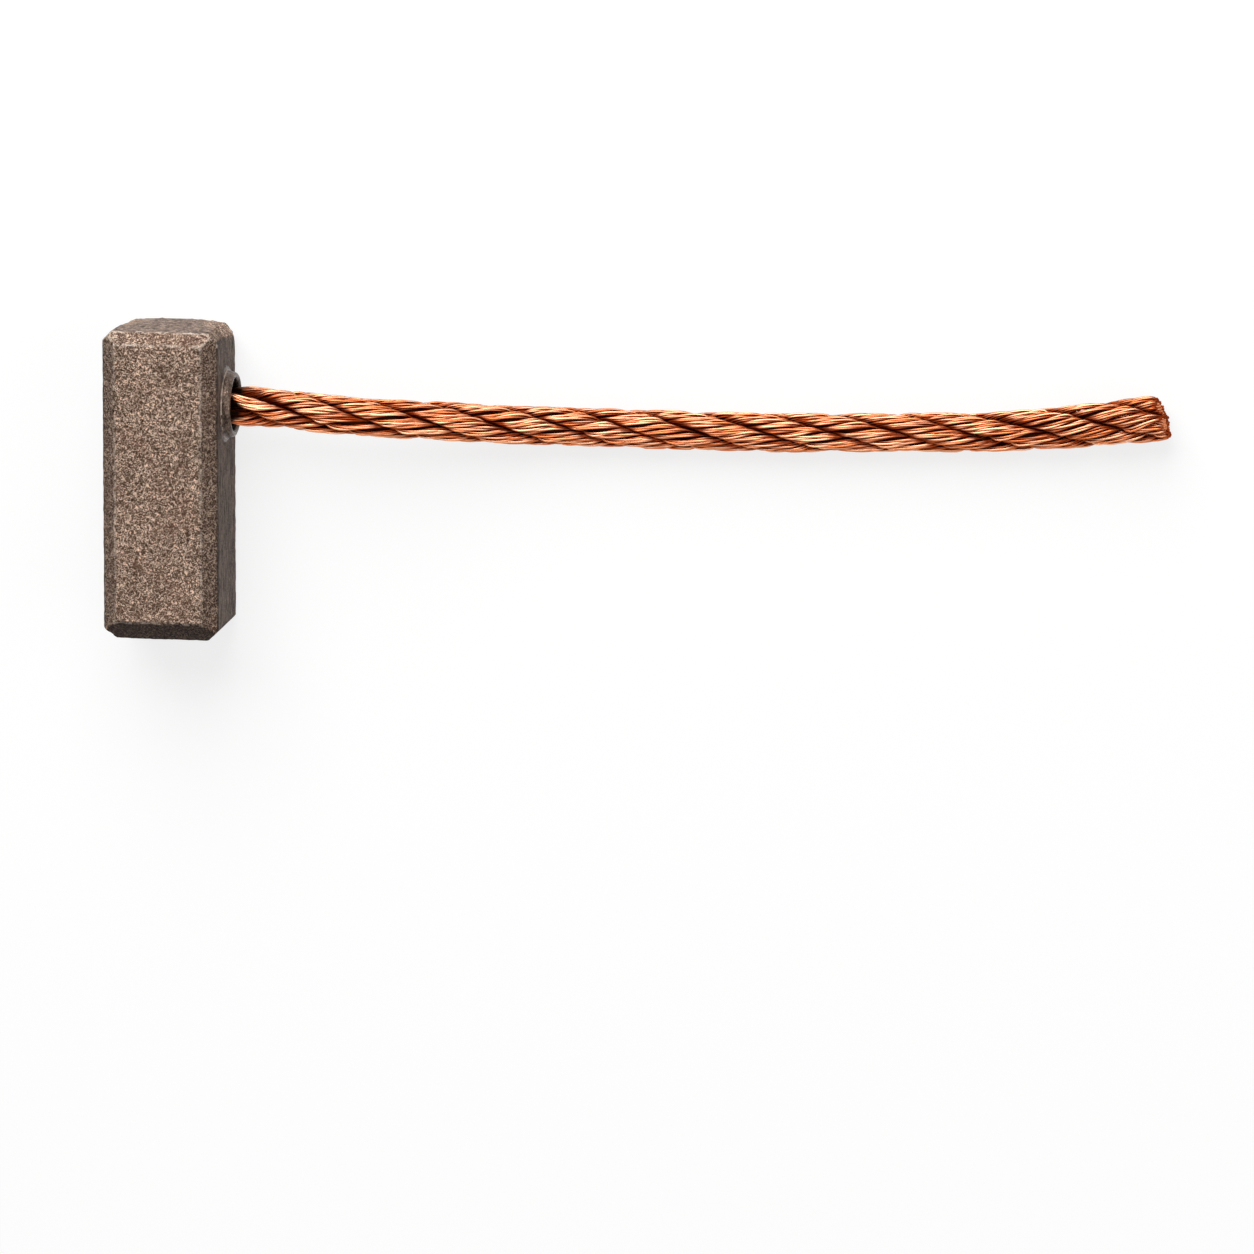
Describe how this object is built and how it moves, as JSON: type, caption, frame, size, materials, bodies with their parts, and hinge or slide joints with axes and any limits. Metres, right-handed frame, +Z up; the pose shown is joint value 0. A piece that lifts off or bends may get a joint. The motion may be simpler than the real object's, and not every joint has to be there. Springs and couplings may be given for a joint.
{
  "type": "carbon brush",
  "caption": "Square copper-graphite motor brush with chamfered edges and a stranded copper shunt rammed into a collared hole in its side.",
  "frame": {"origin": "middle of the back face of the block, which is the face it lies on", "axes": "+X the way the shunt leaves the block; +Y along the block from the contact end to the spring end; +Z up, square to the face it lies on"},
  "size_m": [0.108, 0.032, 0.012],
  "materials": {
    "brush_block": "pressed and sintered copper-graphite, matte with fine copper grain",
    "tamping_plug": "rammed copper powder, dull and dark",
    "shunt": "bright stranded copper wire"
  },
  "bodies": {
    "root": {"brush_block": "brush_block", "tamping_plug": "tamping_plug", "shunt": "shunt"}
  },
  "joints": []
}
